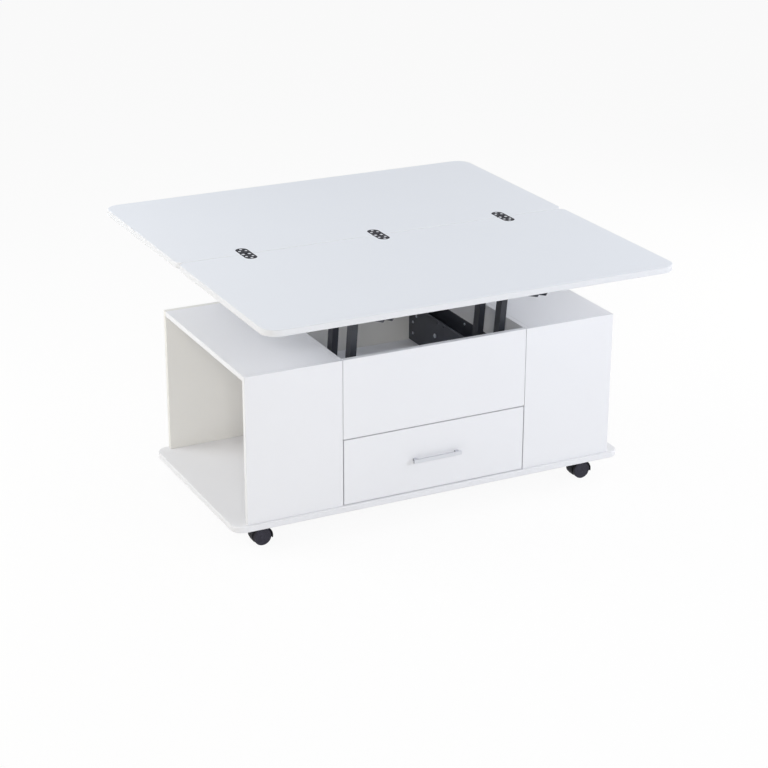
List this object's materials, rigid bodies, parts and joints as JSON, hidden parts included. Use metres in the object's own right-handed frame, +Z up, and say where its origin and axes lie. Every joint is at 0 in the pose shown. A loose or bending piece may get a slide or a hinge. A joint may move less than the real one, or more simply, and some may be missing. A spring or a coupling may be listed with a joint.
{
  "type": "convertible coffee dining table",
  "caption": "White lift-top table on casters: a folding top on parallel arms over a cabinet with open end bays, a compartment and a drawer.",
  "frame": {"origin": "on the floor under the middle of the seam between the two leaves of the raised, unfolded top", "axes": "+X along the table to the right seen from the drawer, +Y to the back, +Z up"},
  "size_m": [1.2, 1.2, 0.71],
  "materials": {
    "top_laminate": "white melamine-faced board",
    "cabinet_laminate": "white melamine-faced board with a faint grain",
    "drawer_board": "white melamine-faced board",
    "handle_metal": "satin",
    "rail_steel": "zinc plated",
    "bright_steel": "zinc plated",
    "black_steel": "black powder coat",
    "hinge_black": "black plated",
    "caster_plastic": "black moulded",
    "wheel_plastic": "dark grey moulded"
  },
  "bodies": {
    "cabinet": {"base_plate": "cabinet_laminate", "left_bay_front": "cabinet_laminate", "right_bay_front": "cabinet_laminate", "left_bay_back": "cabinet_laminate", "right_bay_back": "cabinet_laminate", "left_bay_top": "cabinet_laminate", "right_bay_top": "cabinet_laminate", "left_partition": "cabinet_laminate", "right_partition": "cabinet_laminate", "centre_front_panel": "cabinet_laminate", "centre_back_panel": "cabinet_laminate", "compartment_floor": "cabinet_laminate", "cabinet_screws": "bright_steel", "left_drawer_rail": "rail_steel", "right_drawer_rail": "rail_steel", "left_lift_housing": "black_steel", "right_lift_housing": "black_steel", "left_housing_angle": "black_steel", "right_housing_angle": "black_steel", "housing_pins": "bright_steel", "caster_plates": "black_steel"},
    "drawer": {"drawer_front": "cabinet_laminate", "left_drawer_side": "drawer_board", "right_drawer_side": "drawer_board", "drawer_back": "drawer_board", "drawer_bottom": "drawer_board", "drawer_handle": "handle_metal", "handle_screws": "bright_steel", "left_drawer_slide": "rail_steel", "right_drawer_slide": "rail_steel"},
    "rear_arms": {"left_rear_arm": "black_steel", "right_rear_arm": "black_steel"},
    "front_arms": {"left_front_arm": "black_steel", "right_front_arm": "black_steel"},
    "front_leaf": {"front_leaf": "top_laminate", "left_top_bracket": "black_steel", "right_top_bracket": "black_steel", "bracket_pins": "bright_steel", "bracket_screws": "bright_steel", "front_hinge_plates": "hinge_black", "front_hinge_pins": "bright_steel", "front_hinge_screws": "bright_steel"},
    "hinge_links": {"hinge_links": "bright_steel"},
    "back_leaf": {"back_leaf": "top_laminate", "back_hinge_plates": "hinge_black", "back_hinge_pins": "bright_steel", "back_hinge_screws": "bright_steel"},
    "front_left_caster": {"front_left_caster_hood": "caster_plastic", "front_left_caster_axle": "bright_steel"},
    "front_left_wheels": {"front_left_caster_wheels": "wheel_plastic"},
    "front_right_caster": {"front_right_caster_hood": "caster_plastic", "front_right_caster_axle": "bright_steel"},
    "front_right_wheels": {"front_right_caster_wheels": "wheel_plastic"},
    "rear_left_caster": {"rear_left_caster_hood": "caster_plastic", "rear_left_caster_axle": "bright_steel"},
    "rear_left_wheels": {"rear_left_caster_wheels": "wheel_plastic"},
    "rear_right_caster": {"rear_right_caster_hood": "caster_plastic", "rear_right_caster_axle": "bright_steel"},
    "rear_right_wheels": {"rear_right_caster_wheels": "wheel_plastic"}
  },
  "joints": [
    {"name": "lift", "type": "hinge", "parent": "cabinet", "child": "rear_arms", "pos_m": [0, -0.16516, 0.38], "axis": [-1, 0, 0], "range_deg": [0, 91.91]},
    {"name": "front_arm_turn", "type": "hinge", "parent": "cabinet", "child": "front_arms", "pos_m": [0, -0.28216, 0.406], "axis": [-1, 0, 0], "range_deg": [0, 91.91]},
    {"name": "leaf_level", "type": "hinge", "parent": "rear_arms", "child": "front_leaf", "pos_m": [0, -0.19522, 0.5939], "axis": [-1, 0, 0], "range_deg": [-91.91, 0]},
    {"name": "link_fold", "type": "hinge", "parent": "front_leaf", "child": "hinge_links", "pos_m": [0, -0.0038, 0.7065], "axis": [1, 0, 0], "range_deg": [0, 90]},
    {"name": "back_leaf_fold", "type": "hinge", "parent": "hinge_links", "child": "back_leaf", "pos_m": [0, 0.0038, 0.7065], "axis": [1, 0, 0], "range_deg": [0, 90]},
    {"name": "drawer_slide", "type": "slide", "parent": "cabinet", "child": "drawer", "axis": [0, -1, 0], "range_m": [0, 0.34]},
    {"name": "front_left_swivel", "type": "hinge", "parent": "cabinet", "child": "front_left_caster", "pos_m": [-0.5, -0.30666, 0.056], "axis": [0, 0, 1], "continuous": true},
    {"name": "front_left_roll", "type": "hinge", "parent": "front_left_caster", "child": "front_left_wheels", "pos_m": [-0.507, -0.30666, 0.025], "axis": [0, 1, 0], "continuous": true},
    {"name": "front_right_swivel", "type": "hinge", "parent": "cabinet", "child": "front_right_caster", "pos_m": [0.5, -0.30666, 0.056], "axis": [0, 0, 1], "continuous": true},
    {"name": "front_right_roll", "type": "hinge", "parent": "front_right_caster", "child": "front_right_wheels", "pos_m": [0.493, -0.30666, 0.025], "axis": [0, 1, 0], "continuous": true},
    {"name": "rear_left_swivel", "type": "hinge", "parent": "cabinet", "child": "rear_left_caster", "pos_m": [-0.5, 0.18334, 0.056], "axis": [0, 0, 1], "continuous": true},
    {"name": "rear_left_roll", "type": "hinge", "parent": "rear_left_caster", "child": "rear_left_wheels", "pos_m": [-0.507, 0.18334, 0.025], "axis": [0, 1, 0], "continuous": true},
    {"name": "rear_right_swivel", "type": "hinge", "parent": "cabinet", "child": "rear_right_caster", "pos_m": [0.5, 0.18334, 0.056], "axis": [0, 0, 1], "continuous": true},
    {"name": "rear_right_roll", "type": "hinge", "parent": "rear_right_caster", "child": "rear_right_wheels", "pos_m": [0.493, 0.18334, 0.025], "axis": [0, 1, 0], "continuous": true}
  ],
  "couplings": [
    {"joint": "front_arm_turn", "follows": "lift", "ratio": 1},
    {"joint": "leaf_level", "follows": "lift", "ratio": -1}
  ]
}
